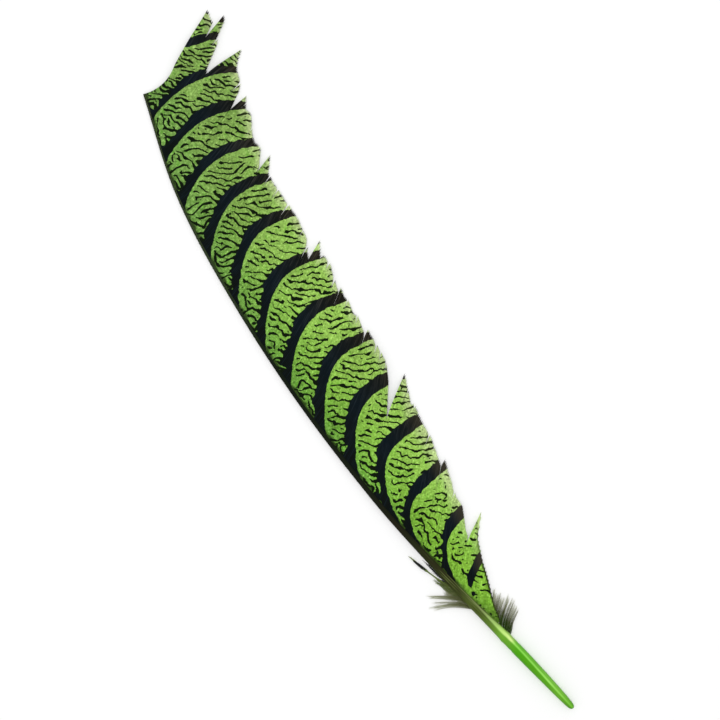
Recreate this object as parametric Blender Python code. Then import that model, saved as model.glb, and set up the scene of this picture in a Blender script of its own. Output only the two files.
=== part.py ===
"""Side tail feather of a pheasant, dyed lime green, lying on its underside.

The quill points to -X and the tip to +X. The shaft is bowed towards +Y. Its narrow vane is
stripped but for a few barbs, and its broad vane lies on the -Y side as eleven locks of barbs,
with a parting between each lock and the next. Lengths are in metres. The tables give places
from the quill's end, and the finished feather is moved so that the origin lies under the
middle of its box.
"""

import math

import bmesh
import bpy
from mathutils import Vector

# Shaft: bow, width and depth along X, from the quill's blunt end to the far end.
SHAFT_LENGTH = 0.389
SHAFT_BOW = (
    (0.000, -0.0008),
    (0.020, 0.0022),
    (0.050, 0.0070),
    (0.100, 0.0156),
    (0.150, 0.0220),
    (0.220, 0.0252),
    (0.290, 0.0223),
    (0.340, 0.0153),
    (0.389, 0.0003),
)
SHAFT_WIDTH = (
    (0.000, 0.0030),
    (0.008, 0.0043),
    (0.034, 0.0057),
    (0.047, 0.0057),
    (0.066, 0.0049),
    (0.120, 0.0034),
    (0.200, 0.0024),
    (0.300, 0.0015),
    (0.389, 0.0008),
)
SHAFT_DEPTH = (
    (0.000, 0.0036),
    (0.012, 0.0046),
    (0.034, 0.0054),
    (0.066, 0.0048),
    (0.120, 0.0037),
    (0.200, 0.0026),
    (0.300, 0.0017),
    (0.389, 0.0009),
)
QUILL_END_ROUNDING = 0.0022
QUILL_END_FACE = 0.15  # flat end of the quill, as a share of its section
QUILL_END_STATIONS = (0.0, 0.15, 0.45, 1.0)  # as shares of the rounding
SHAFT_SIDES = 15
SHAFT_STATION_SPACING = 0.009
FLAT_HALF_ANGLE = math.radians(23.0)  # half of the flat strip that the shaft rests on
SLOPE_REACH = 0.001  # each way along X, to find the shaft's direction

# Broad vane: the barbs at the locks' sides, from the quill to the tip. Each leaves the shaft
# at its root and is free of its neighbour from its shoulder on.
PARTING_BARBS = (
    (0.0580, (0.0590, 0.0047)),
    (0.0785, (0.1025, -0.0047)),
    (0.1130, (0.1418, -0.0155)),
    (0.1550, (0.1780, -0.0071)),
    (0.1940, (0.2197, -0.0209)),
    (0.2225, (0.2463, -0.0232)),
    (0.2470, (0.2688, -0.0195)),
    (0.3065, (0.3221, -0.0248)),
    (0.3460, (0.3564, -0.0310)),
    (0.3680, (0.3779, -0.0301)),
    (0.3835, (0.3935, -0.0396)),
    (0.3883, (0.3910, -0.0205)),
)
# Outer edge of each lock, from its quill-side barb to its tip-side barb.
LOCK_EDGES = (
    ((0.0603, 0.0038), (0.0676, 0.0022), (0.0829, -0.0037), (0.0965, -0.0087), (0.1103, -0.0190)),
    ((0.1048, -0.0069), (0.1157, -0.0120), (0.1258, -0.0139), (0.1334, -0.0167), (0.1436, -0.0193)),
    ((0.1430, -0.0167), (0.1510, -0.0190), (0.1679, -0.0216), (0.1768, -0.0234), (0.1922, -0.0277)),
    ((0.1944, -0.0191), (0.2042, -0.0241), (0.2114, -0.0246), (0.2220, -0.0250)),
    ((0.2231, -0.0233), (0.2318, -0.0252), (0.2397, -0.0259), (0.2479, -0.0259)),
    ((0.2477, -0.0248), (0.2600, -0.0286), (0.2672, -0.0291), (0.2742, -0.0309)),
    ((0.2704, -0.0214), (0.2795, -0.0270), (0.3010, -0.0288), (0.3181, -0.0299), (0.3253, -0.0347)),
    ((0.3245, -0.0278), (0.3316, -0.0340), (0.3391, -0.0345), (0.3490, -0.0395), (0.3577, -0.0423)),
    ((0.3596, -0.0364), (0.3664, -0.0449), (0.3724, -0.0471), (0.3791, -0.0540)),
    ((0.3792, -0.0330), (0.3892, -0.0467), (0.3912, -0.0475), (0.3988, -0.0566)),
    ((0.3979, -0.0496), (0.4020, -0.0504), (0.4061, -0.0515)),
)
# Sideways bow of a broad-side barb's inner stretch, as a share of its length, by the place of
# its root. The narrow side's barbs have none.
BARB_BOW = (
    (0.0580, 0.000),
    (0.0785, -0.060),
    (0.1130, 0.030),
    (0.2225, 0.036),
    (0.3680, 0.040),
    (0.3835, 0.055),
    (0.3890, 0.090),
)
# How far the free end of each lock is lifted above the surface.
LOCK_LIFTS = (0.0006, 0.0012, 0.0004, 0.0016, 0.0002, 0.0010, 0.0003, 0.0009, 0.0002, 0.0012, 0.0005)
PARTING_GAP = 0.0005  # along the shaft, from one lock to the next
SHAFT_GAP = 0.0003
VANE_ROOT_SHARE = 0.70  # height of the barbs' roots, as a share of the shaft's depth
VANE_EDGE_HEIGHT = 0.0005
VANE_CAMBER = (
    (0.058, 0.0008),
    (0.110, 0.0022),
    (0.200, 0.0036),
    (0.300, 0.0036),
    (0.389, 0.0016),
)
VANE_ROOT_THICKNESS = 0.0008
VANE_EDGE_THICKNESS = 0.0005
LOCK_BARB_SPACING = 0.0036
INNER_STEPS = 6
FREE_STEPS = 4
EDGE_SHARE = 0.25  # how far barb ends also spread along an edge that runs with the barbs

# Barbs left on the stripped side, and the two tufts of down.
REMNANT_ROOTS = (0.0850, 0.0935)
REMNANT_SHOULDERS = ((0.0955, 0.0205), (0.1010, 0.0204))
REMNANT_EDGE = ((0.1080, 0.0243), (0.1127, 0.0235))
NARROW_DOWN_ROOTS = (0.0720, 0.0840)
NARROW_DOWN_SHOULDERS = ((0.0770, 0.0215), (0.0885, 0.0215))
NARROW_DOWN_EDGE = ((0.0810, 0.0290), (0.0860, 0.0292), (0.0910, 0.0273))
BROAD_DOWN_ROOTS = (0.0495, 0.0572)
BROAD_DOWN_SHOULDERS = ((0.0530, -0.0005), (0.0612, 0.0018))
BROAD_DOWN_EDGE = ((0.0585, -0.0080), (0.0615, -0.0085), (0.0665, -0.0063), (0.0742, -0.0027))
DOWN_THICKNESS = 0.0012
DOWN_EDGE_HEIGHT = 0.0010
TUFT_ROOT_SHARE = 0.50  # height of a tuft's roots, as a share of the shaft's depth
TUFT_BARBS = 5
SHARP_EDGE = math.radians(50.0)

# The middle of the feather's box, seen from above.
BOX_MIDDLE = (0.2030, -0.0138)

BROAD_SIDE = -1
NARROW_SIDE = 1


def smooth_value(table, x):
    """Value at x of the smooth curve through the table's (x, value) points."""
    last = len(table) - 1
    x = min(max(x, table[0][0]), table[last][0])
    right = next(k for k in range(1, last + 1) if x <= table[k][0])
    left = right - 1

    def slope(k):
        before = table[max(k - 1, 0)]
        after = table[min(k + 1, last)]
        return (after[1] - before[1]) / (after[0] - before[0])

    span = table[right][0] - table[left][0]
    t = (x - table[left][0]) / span
    from_left = (1 + 2 * t) * (1 - t) ** 2 * table[left][1] + t * (1 - t) ** 2 * span * slope(left)
    from_right = t * t * (3 - 2 * t) * table[right][1] - t * t * (1 - t) * span * slope(right)
    return from_left + from_right


def shaft_middle(x):
    """Point on the shaft's middle line, seen from above."""
    return Vector((x, smooth_value(SHAFT_BOW, x)))


def shaft_side(x):
    """Direction across the shaft, towards +Y, seen from above."""
    along = shaft_middle(x + SLOPE_REACH) - shaft_middle(x - SLOPE_REACH)
    return Vector((-along.y, along.x)).normalized()


def barb_root(x, side):
    """Where a barb starts beside the shaft."""
    out = smooth_value(SHAFT_WIDTH, x) / 2 + SHAFT_GAP
    return shaft_middle(x) + shaft_side(x) * side * out


def end_rounding(x):
    """Share of the full section that the quill's blunt end has at x."""
    inward = 1 - min(x / QUILL_END_ROUNDING, 1.0)
    return QUILL_END_FACE + (1 - QUILL_END_FACE) * math.sqrt(1 - inward * inward)


def shaft_ring(x):
    """One section of the shaft: round, with a flat strip below that rests on the surface."""
    half_width = smooth_value(SHAFT_WIDTH, x) / 2
    half_depth = smooth_value(SHAFT_DEPTH, x) / (1 + math.cos(FLAT_HALF_ANGLE))
    middle_height = half_depth * math.cos(FLAT_HALF_ANGLE)
    share = end_rounding(x)
    middle = shaft_middle(x)
    across = shaft_side(x)
    first = -math.pi / 2 + FLAT_HALF_ANGLE
    sweep = 2 * (math.pi - FLAT_HALF_ANGLE)
    ring = []
    for k in range(SHAFT_SIDES):
        angle = first + sweep * k / (SHAFT_SIDES - 1)
        place = middle + across * half_width * share * math.cos(angle)
        ring.append(Vector((place.x, place.y, middle_height + half_depth * share * math.sin(angle))))
    return ring


def shaft_stations():
    """Places of the shaft's sections, closer together at the blunt end."""
    blunt = [QUILL_END_ROUNDING * share for share in QUILL_END_STATIONS]
    count = round((SHAFT_LENGTH - QUILL_END_ROUNDING) / SHAFT_STATION_SPACING)
    spacing = (SHAFT_LENGTH - QUILL_END_ROUNDING) / count
    return blunt + [QUILL_END_ROUNDING + spacing * k for k in range(1, count + 1)]


def new_object(name, mesh, material):
    """Finished object from a bmesh: outward faces, smooth shading, moved to the feather's origin."""
    bmesh.ops.recalc_face_normals(mesh, faces=mesh.faces)
    bmesh.ops.translate(mesh, verts=mesh.verts, vec=(-BOX_MIDDLE[0], -BOX_MIDDLE[1], 0.0))
    data = bpy.data.meshes.new(name)
    mesh.to_mesh(data)
    mesh.free()
    data.materials.append(material)
    data.shade_smooth()
    data.set_sharp_from_angle(angle=SHARP_EDGE)
    item = bpy.data.objects.new(name, data)
    bpy.context.scene.collection.objects.link(item)
    return item


def make_shaft(material):
    """Quill and rachis in one: a tapering bowed stem."""
    mesh = bmesh.new()
    rings = []
    for x in shaft_stations():
        rings.append([mesh.verts.new(point) for point in shaft_ring(x)])
    for here, there in zip(rings, rings[1:]):
        for k in range(SHAFT_SIDES):
            after = (k + 1) % SHAFT_SIDES
            mesh.faces.new((here[k], here[after], there[after], there[k]))
    mesh.faces.new(rings[0])
    mesh.faces.new(reversed(rings[-1]))
    return new_object("shaft", mesh, material)


def bezier(start, bend, end, t):
    """Point at t of the parabola from start to end that heads for bend."""
    return start * (1 - t) ** 2 + bend * 2 * t * (1 - t) + end * t * t


def barb_line(x, shoulder, end, side):
    """Points of the barb rooted at x: a bowed inner stretch, then a free one that carries on smoothly."""
    root = barb_root(x, side)
    chord = shoulder - root
    bow = smooth_value(BARB_BOW, x) if side == BROAD_SIDE else 0.0
    inner_bend = root + chord / 2 + Vector((chord.y, -chord.x)) * 2 * bow
    heading = (shoulder - inner_bend).normalized()
    free_bend = shoulder + heading * (end - shoulder).length / 2
    inner = [bezier(root, inner_bend, shoulder, k / INNER_STEPS) for k in range(INNER_STEPS)]
    free = [bezier(shoulder, free_bend, end, k / FREE_STEPS) for k in range(FREE_STEPS + 1)]
    return inner + free


def edge_points(edge, across, count):
    """Barb ends along an outer edge, spread evenly across the barbs' direction."""
    places = [Vector(point) for point in edge]
    reach = [0.0]
    for before, after in zip(places, places[1:]):
        step = after - before
        reach.append(reach[-1] + abs(step.dot(across)) + EDGE_SHARE * step.length)
    ends = []
    for k in range(count):
        goal = reach[-1] * k / (count - 1)
        right = next(i for i in range(1, len(reach)) if goal <= reach[i] + 1e-9)
        share = (goal - reach[right - 1]) / (reach[right] - reach[right - 1])
        ends.append(places[right - 1].lerp(places[right], share))
    return ends


def barb_lines(roots, shoulders, edge, side, count):
    """Barbs of one lock or tuft, from its quill side to its tip side, seen from above."""
    first = Vector(edge[0]) - Vector(shoulders[0])
    last = Vector(edge[-1]) - Vector(shoulders[1])
    run = (first.normalized() + last.normalized()).normalized()
    across = Vector((-run.y, run.x))
    ends = edge_points(edge, across, count)
    lines = []
    for k, end in enumerate(ends):
        share = k / (count - 1)
        x = roots[0] + (roots[1] - roots[0]) * share
        shoulder = Vector(shoulders[0]).lerp(Vector(shoulders[1]), share)
        lines.append(barb_line(x, shoulder, end, side))
    return lines


def vane_height(x, share, lift):
    """Height of the vane's middle surface on the barb rooted at x, a share of the way along it."""
    root = smooth_value(SHAFT_DEPTH, x) * VANE_ROOT_SHARE
    sloping = root + (VANE_EDGE_HEIGHT - root) * share
    return sloping + smooth_value(VANE_CAMBER, x) * math.sin(math.pi * share) + lift * share ** 3


def sheet_mesh(rows):
    """Closed sheet from rows of (place, height, thickness), one row to a barb."""
    mesh = bmesh.new()
    top = []
    under = []
    for row in rows:
        top.append([mesh.verts.new((p.x, p.y, z + thick / 2)) for p, z, thick in row])
        under.append([mesh.verts.new((p.x, p.y, z - thick / 2)) for p, z, thick in row])
    lengthwise = range(len(rows[0]) - 1)
    for i in range(len(rows) - 1):
        for j in lengthwise:
            mesh.faces.new((top[i][j], top[i + 1][j], top[i + 1][j + 1], top[i][j + 1]))
            mesh.faces.new((under[i][j], under[i][j + 1], under[i + 1][j + 1], under[i + 1][j]))
        for j in (0, -1):
            mesh.faces.new((top[i][j], under[i][j], under[i + 1][j], top[i + 1][j]))
    for j in lengthwise:
        for i in (0, -1):
            mesh.faces.new((top[i][j], top[i][j + 1], under[i][j + 1], under[i][j]))
    return mesh


def shares_along(line):
    """Distance along a barb at each of its points, as a share of its length."""
    reach = [0.0]
    for before, after in zip(line, line[1:]):
        reach.append(reach[-1] + (after - before).length)
    return [distance / reach[-1] for distance in reach]


def make_vane_lock(number, material):
    """One lock of the broad vane, numbered from the quill."""
    quill_side, tip_side = PARTING_BARBS[number - 1 : number + 1]
    half_gap = Vector((PARTING_GAP / 2, 0.0))
    roots = (quill_side[0] + half_gap.x, tip_side[0] - half_gap.x)
    shoulders = (Vector(quill_side[1]) + half_gap, Vector(tip_side[1]) - half_gap)
    edge = LOCK_EDGES[number - 1]
    count = max(4, round((roots[1] - roots[0]) / LOCK_BARB_SPACING) + 1)
    rows = []
    for k, line in enumerate(barb_lines(roots, shoulders, edge, BROAD_SIDE, count)):
        x = roots[0] + (roots[1] - roots[0]) * k / (count - 1)
        row = []
        for place, share in zip(line, shares_along(line)):
            height = vane_height(x, share, LOCK_LIFTS[number - 1])
            thickness = VANE_ROOT_THICKNESS + (VANE_EDGE_THICKNESS - VANE_ROOT_THICKNESS) * share
            row.append((place, height, thickness))
        rows.append(row)
    return new_object(f"vane_lock_{number:02d}", sheet_mesh(rows), material)


def make_tuft(name, roots, shoulders, edge, side, thickness, edge_height, material):
    """A few loose barbs or a tuft of down beside the shaft, as one closed sheet."""
    rows = []
    for k, line in enumerate(barb_lines(roots, shoulders, edge, side, TUFT_BARBS)):
        x = roots[0] + (roots[1] - roots[0]) * k / (TUFT_BARBS - 1)
        start = smooth_value(SHAFT_DEPTH, x) * TUFT_ROOT_SHARE
        row = []
        for place, share in zip(line, shares_along(line)):
            row.append((place, start + (edge_height - start) * share, thickness))
        rows.append(row)
    return new_object(name, sheet_mesh(rows), material)


def dyed_material(name, colour, roughness):
    """Plain finish: keratin and barbs are not metallic."""
    material = bpy.data.materials.new(name)
    material.use_nodes = True
    shader = material.node_tree.nodes["Principled BSDF"]
    shader.inputs["Base Color"].default_value = (*colour, 1.0)
    shader.inputs["Roughness"].default_value = roughness
    shader.inputs["Metallic"].default_value = 0.0
    return material


def clear_scene():
    for item in list(bpy.data.objects):
        bpy.data.objects.remove(item, do_unlink=True)


def main():
    clear_scene()
    make_shaft(dyed_material("quill_green", (0.10, 0.42, 0.02), 0.35))
    for number in range(1, len(LOCK_EDGES) + 1):
        green = 0.40 + 0.02 * (number % 2)
        make_vane_lock(number, dyed_material(f"vane_green_{number:02d}", (0.20, green, 0.05), 0.65))
    make_tuft(
        "narrow_vane_remnant",
        REMNANT_ROOTS,
        REMNANT_SHOULDERS,
        REMNANT_EDGE,
        NARROW_SIDE,
        VANE_EDGE_THICKNESS,
        VANE_EDGE_HEIGHT,
        dyed_material("remnant_black_green", (0.03, 0.04, 0.02), 0.6),
    )
    make_tuft(
        "down_narrow_side",
        NARROW_DOWN_ROOTS,
        NARROW_DOWN_SHOULDERS,
        NARROW_DOWN_EDGE,
        NARROW_SIDE,
        DOWN_THICKNESS,
        DOWN_EDGE_HEIGHT,
        dyed_material("down_olive", (0.16, 0.17, 0.08), 0.9),
    )
    make_tuft(
        "down_broad_side",
        BROAD_DOWN_ROOTS,
        BROAD_DOWN_SHOULDERS,
        BROAD_DOWN_EDGE,
        BROAD_SIDE,
        DOWN_THICKNESS,
        DOWN_EDGE_HEIGHT,
        dyed_material("down_grey", (0.22, 0.23, 0.15), 0.9),
    )


main()
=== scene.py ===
"""Looks of a side tail feather of a pheasant, dyed lime green.

The feather lies on its underside with the quill towards -X and the stripped side towards +Y.
Places count from the quill's end, as in the solid model, until a piece is finished: then it is
moved so that the origin lies under the middle of the feather's box. Outlines, bars and the
tables handed to metres() are in millimetres, and all else is in metres.
"""

import math

import bpy
import numpy as np
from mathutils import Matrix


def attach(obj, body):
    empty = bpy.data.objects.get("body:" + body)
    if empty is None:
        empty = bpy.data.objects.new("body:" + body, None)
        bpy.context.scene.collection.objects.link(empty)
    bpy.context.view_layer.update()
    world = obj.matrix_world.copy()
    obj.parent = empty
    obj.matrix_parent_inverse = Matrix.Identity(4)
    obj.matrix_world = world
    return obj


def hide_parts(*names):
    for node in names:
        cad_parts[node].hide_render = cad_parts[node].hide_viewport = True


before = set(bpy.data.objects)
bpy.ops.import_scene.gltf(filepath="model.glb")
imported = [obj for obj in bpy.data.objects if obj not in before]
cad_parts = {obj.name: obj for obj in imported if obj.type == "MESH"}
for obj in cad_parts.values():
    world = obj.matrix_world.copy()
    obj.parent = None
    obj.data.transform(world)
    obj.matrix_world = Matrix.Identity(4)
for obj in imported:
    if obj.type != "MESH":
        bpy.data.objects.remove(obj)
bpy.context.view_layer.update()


def metres(table):
    """Sizes in metres, from a table in millimetres."""
    return np.array(table) / 1000


MM = 0.001
BOX_MIDDLE = (0.2030, -0.0138)
MAP_SLANT = (0.7, 0.4)  # how far height shifts the view from above, so that no face is flat in it
BROAD_SIDE = -1
NARROW_SIDE = 1
# In what follows, a pair of places gives where something is nought, and where it is full.

# Shaft: bow, width and depth along X, from the quill's blunt end to the far end.
SHAFT_LENGTH = 0.389
SHAFT_BOW = metres((
    (0, -0.8), (20, 2.2), (50, 7), (100, 15.6), (150, 22), (220, 25.2), (290, 22.3), (340, 15.3), (389, 0.3),
))
SHAFT_WIDTH = metres((
    (0, 3), (8, 4.3), (34, 5.7), (47, 5.7), (66, 4.9), (120, 3.4), (200, 2.4), (300, 1.5), (389, 0.8),
))
SHAFT_DEPTH = metres((
    (0, 3.6), (12, 4.6), (34, 5.4), (66, 4.8), (120, 3.7), (200, 2.6), (300, 1.7), (389, 0.9),
))
SLOPE_REACH = 0.001  # each way along X, to find the shaft's direction
STATIONS = np.arange(-0.01, 0.45, 0.0005)  # along X, to measure lengths along the stripped edge
NEAREST_ROUNDS = 5  # to find the nearest place on that edge
QUILL_END_ROUNDING = 0.0022
QUILL_END_FACE = 0.15  # flat end of the quill, as a share of its section
QUILL_END_STATIONS = 9
FLAT_HALF_ANGLE = math.radians(23.0)  # half of the flat strip that the shaft rests on
SHAFT_SIDES = 36
SHAFT_STATIONS = 820
COLLAR = (0.0505, 0.0013, 0.080)  # swelling where the skin gripped the quill: place, reach, share
SCAR = (0.0437, 0.0007, -0.050)  # ring scar below it
PAINTED_HIGHLIGHT_LINE = (  # painted highlight line along the shaft: how far across it runs, -1 at the broad side
    (0.000, -0.05), (0.015, -0.12), (0.025, -0.22), (0.040, -0.36), (0.050, -0.42), (0.062, -0.46),
    (0.073, -0.56), (0.090, -0.80), (0.115, -0.80), (0.389, -0.60),
)

# Broad vane: roots and shoulders of the barbs at the locks' sides, from the quill to the tip. Each
# is free of its neighbour from its shoulder on.
PARTING_BARBS = metres((
    (58, 59, 4.7), (78.5, 100.5, -3.3), (113, 141.8, -15.5), (155, 176, -4.5), (194, 219.7, -20.9),
    (222.5, 246.3, -23.2), (247, 268.8, -19.5), (306.5, 322.1, -24.8), (346, 356.4, -31),
    (368, 377.9, -30.1), (383.5, 393.5, -39.6), (388.9, 391.2, -20.5),
))
# Outer edge of each lock, from its quill-side barb to its tip-side barb.
LOCK_EDGES = (
    ((60.3, 3.8), (67.6, 2.2), (74.9, -0.7), (82.9, -3.7), (89.2, -5.6), (96.5, -8.7), (100.5, -10.3),
     (104.9, -14), (110.3, -19)),
    ((104.8, -6.9), (107.9, -7.8), (115.7, -12), (119, -13.6), (125.8, -13.9), (133.4, -16.7),
     (143.6, -19.3)),
    ((143, -16.7), (151, -19), (156, -20.5), (167.9, -21.6), (176.8, -23.4), (177.3, -21.8),
     (192.2, -27.7)),
    ((194.4, -19.1), (198.5, -21.3), (204.2, -24.1), (211.4, -24.6), (217.9, -25.3), (222, -25)),
    ((223.1, -23.3), (231.8, -25.4), (233.8, -24.3), (239.7, -25.9), (243.7, -25.5), (247.9, -25.9)),
    ((247.7, -24.2), (252, -25.5), (260, -28.6), (267.2, -29.1), (266.8, -26.7), (269.6, -28.3),
     (274.2, -30.9)),
    ((270.4, -21.4), (273.5, -22.8), (279.5, -26.9), (291, -28.8), (301, -28.8), (313.5, -29),
     (318.1, -29.7), (325.3, -34.7)),
    ((324.5, -27.8), (331.6, -34), (335.2, -33.3), (339.1, -34.1), (349, -39.8), (352.7, -39.1),
     (357.7, -42.3)),
    ((359.6, -36.4), (362.4, -41.5), (366.4, -44.9), (372.4, -47.1), (375.5, -49.9), (379.1, -54)),
    ((379.2, -33), (380.8, -33.3), (389.2, -46.7), (391.2, -47.5), (396.5, -56.2), (398.8, -56.6)),
    ((399.6, -50.4), (402.8, -50.8), (406.1, -51.5)),
)
BARB_BOW = (  # of a barb's inner stretch, sideways, as a share of its length: by place of its root
    (0.0580, 0.000), (0.0785, -0.060), (0.1130, 0.030), (0.2225, 0.036), (0.3680, 0.040), (0.3835, 0.055),
    (0.3890, 0.115),
)
FREE_BEND = 0.22  # how far along its free stretch a barb turns away towards its end
INNER_POINTS = 40  # of a barb up to its shoulder, before they are spaced evenly
FREE_POINTS = 30
LOCK_LIFTS = metres((0.6, 1.2, 0.4, 1.6, 0.2, 1.0, 0.3, 0.9, 0.2, 1.2, 0.5))  # at their free ends
VANE_ROOT_SHARE = 0.70  # height of the barbs' roots, as a share of the shaft's depth
VANE_EDGE_HEIGHT = 0.0005
VANE_CAMBER = metres(((58, 0.8), (110, 2.2), (200, 3.6), (300, 3.6), (389, 1.6)))
EDGE_SHARE = 0.25  # how far barb ends also spread along an edge that runs with the barbs

# One barb of the vane: a ridged sliver that laps over the next one.
BARB_SPACING = 0.00092  # along the shaft
BARB_STEP = 0.0004
POINT_REACH = 0.0009  # how far a lock's point stands out past its edge, as one thin barb
PARTING_GAP = 0.0005  # along the shaft, from one lock to the next
ROOT_BURIED = 0.0010  # how far a barb starts inside the shaft
LAP = 1.12  # width of a barb, as a share of the room it has
BARB_CORNERS = (  # places across as shares of the half width, heights, painted brightness (lit ridge, shaded webs), steps across
    (-1.0, -0.00007, 0.00, -1.0),  # web on the quill side
    (0.0, -0.00016, 0.30, 0.0),  # keel
    (1.0, 0.00003, 0.25, 1.0),  # web on the tip side
    (-0.15, 0.00013, 1.00, 0.0),  # ridge
)
LEAST_HEIGHT = 0.25  # of a narrow barb's section, as a share of the full one's
SHARP_EDGE = math.radians(60)
TIP_TAPER = 0.0018
TIP_WIDTH_SHARE = 0.22
TIP_ROUNDNESS = 0.7
BLUNT_SHARE = 0.15  # of the taper's length where the vane isn't frayed
SIDE_TAPER = 0.8  # how far a lock's outermost barbs draw in on the open side
SIDE_TAPER_REACH = (0.021, 0.003)  # before their ends
SKEW_LIMIT = 0.0025  # how far a barb's side may reach on past its middle, or stop short of it
SKEW_SPREAD = 3.0  # how much longer the stretch is over which the side is drawn out
END_SCATTER = 0.00028  # how far some barbs stop short of the edge
UNFRAYED_SCATTER = 0.2  # share of that where the vane isn't frayed
BARB_RIPPLE = 0.00004
BARB_JITTER = 0.00010  # how far a barb's markings slip along it
FRAYED_FROM = (0.082, 0.100)
SPLIT_FIRST = (5, 12)  # barbs from a lock's quill side to its first small split
SPLIT_STEP = (6, 16)  # barbs from one to the next
SPLIT_MARGIN = 3  # barbs at a lock's tip side without one
SPLIT_DEPTH = (0.003, 0.011)
SPLIT_WIDTH = (0.0001, 0.0006)
SPLIT_SPREAD = 2.5  # barbs on each side that one draws away
DARK_END = (0.0030, 0.0010)  # dark olive ends of the first barbs
DARK_END_ROOTS = (0.080, 0.068)
PAINTED_SHADE_ZONE = (0.6, (0.088, 0.060), (0.011, 0.005))  # painted olive shade on the first stretch, along and out
RIM_WIDTH = 0.009  # of the vane's pale rim
EARLY_RIM = 0.008  # added before the middle of the feather
EARLY_RIM_ROOTS = (0.24, 0.10)
BARB_TONE = 0.5  # how much barbs differ in tone
CLOUD_TONE = 0.4  # and patches of the vane
SMEAR = 0.8  # how far the markings run on smoothly across one barb's width
OUT_SCALE = 0.055  # distance out from the shaft that the finish takes as 1
LOCK_STEP = 100  # between the locks' seeds, and their barbs' numbers

# Bars, from the quill to the tip: place of the quill-side edge along the shaft where the bar is
# level with it, how far that edge falls back at the shaft, the bar's thickness, and how sharply
# it bends towards the quill.
BARS = (
    (110.8, 37, 6, 4.6), (137, 35, 6.8, 5.5), (165.2, 45, 7, 3.4), (193.6, 34.5, 7.2, 2.2),
    (220.8, 33, 6.6, 2), (246.7, 27, 6.8, 2), (274, 30, 6.8, 2), (301.2, 31, 6.2, 2), (325.5, 26, 6.2, 2),
    (350, 20, 6, 2), (373.4, 17, 5.8, 2), (392.7, 12.5, 4.4, 2.2), (410.6, 0, 4.2, 2),
)
BAR_REACH = 0.036  # from the shaft out to where a bar is level with it
BAR_DROOP = 0.0021  # how far a bar falls back again at the vane's outer edge
DROOP_REACH = 0.014
OUTER_THINNING = 0.0014  # how much further its tip side falls back there
INNER_BAR_SHARE = 0.70  # of its full thickness, beside the shaft
BEND_THINNING = 0.08  # how much less that is for a bar that bends more sharply
FULL_THICKNESS = (0.010, 0.026)
FLARE_REACH = 0.004
FLARE_LENGTH = 0.007
FLARE_LEAN = 0.3  # share of the flare on a bar's quill side
BAR_RAGGED = 0.0008  # how far a bar's tip side strays
RAGGED_OUT = (0.030, 0.008)
SHORT_BAR = metres((88.9, 11.5, 3.8, 7.5, 23.5))  # the first one, and where it starts and ends
SHORT_BAR_SQUARE = 0.8  # its thickness, as a share of what it takes up along the shaft
SHORT_BAR_ROOT = 0.5  # share of that thickness where it starts
SHORT_BAR_TAPER = 0.003
# Dark spots: place along the shaft, place out from it and radius.
SPOTS = metres(((79, 6.6, 1.1), (191.7, 52.2, 1.7), (419.5, 50.5, 2.4), (426.1, 44.7, 2.4)))

# Loose parts. A wisp is given by its root, the point it bends towards and its tip. A row is given
# by its number of wisps, the outermost ones' roots and shoulders, and its outer edge.
BROAD_DOWN_SEED = 7
NARROW_DOWN_SEED = 8
REMNANT_SEED = 9
DOWN_ROOT_SHARE = 0.45  # height of the down's roots, as a share of the shaft's depth
DOWN_END_HEIGHT = 0.0007
BROAD_DOWN = (
    13, (49.4, 64), ((52.8, 1.6), (68.5, 3.4)),
    ((59, -8.4), (61.7, -7.9), (64.3, -7.9), (67.1, -7.1), (69.2, -4.8), (75, -3.4)),
)
WISP_JITTER = 0.02
WISP_LENGTHS = (0.84, 1.0)
NARROW_DOWN = metres((
    (80, 84, 19.4, 90.8, 28.6), (78.5, 83, 19.2, 89.6, 28.1), (79, 83.6, 18.6, 89.9, 27),
    (72.2, 81.2, 19, 85, 31), (73.5, 81.2, 19.4, 83.8, 29.6), (71.5, 80.2, 19.2, 82.7, 29.6),
    (72.8, 81.8, 18.6, 86.2, 28.4),
))
NARROW_FUZZ = (14, (72, 85), ((77, 16), (86.5, 18)), ((80.3, 22.2), (85.5, 21.1), (89.2, 19.4)))
NARROW_FUZZ_SHADES = (0.0, 0.75)  # stretch of the finish's shades that it takes
REMNANT_BARBS = metres((
    (85, 96.2, 20.3, 113.3, 24.3), (85.8, 96.6, 20.1, 112.2, 23.8), (84.5, 95.8, 20, 110.8, 23.3),
))
REMNANT_FLATNESS = 0.3  # height of these barbs, as a share of their width
BLACK_WIDENING = 8.0  # along their black stretch
BLACK_FROM = (0.64, 0.71)
BLACK_TO = (0.92, 0.87)
END_WIDENING = 2.0
END_FROM = (0.86, 0.94)
WEDGE = (14, (78, 90.5), ((83.5, 15.8), (93, 18.3)), ((88, 17), (97.5, 19.7)))
REMNANT_FUZZ = (18, (79, 89.5), ((82.8, 16.4), (92.5, 19.3)), ((86.2, 18.3), (90.5, 19.6), (97, 20.7)))
REMNANT_FUZZ_SHADES = (0.10, 0.55)
STUBS = (30, (86, 102), ((89.5, 16.4), (104, 18.4)), ((93.5, 18.1), (100, 19), (108.5, 19.7)))
TORN_SHADES = (0.72, 0.82)
STUB_LENGTHS = (0.4, 1.0)
STUB_POINTS = 10
STUMP_SPACING = 0.0021  # between the torn stumps along the stripped side
STUMPS_FROM = 0.106
STUMPS_MARGIN = 0.004  # before the shaft's far end
STUMP_BURIED = 0.0001
STUMP_LENGTHS = (0.0003, 0.0008)
STUMP_LEAN = 0.28
STUMP_POINTS = 5
STRAND_POINTS = 34
STRAND_SIDES = 3
STRAND_CLEARANCE = 0.00012  # lowest that a strand's middle lies above the surface
STRAND_THINNING = 0.75  # towards its tip
PARTING_CURVE = 0.8  # strands part nearer their roots if it is below 1
TIP_SWING = 0.6  # how far their tips stray, as a share of how far they part
SINKING_CURVE = 0.8
BARBULE_POINTS = 3
BARBULE_SHARE = 0.5  # of the strand's thickness
BARBULE_THINNING = 0.6
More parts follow.
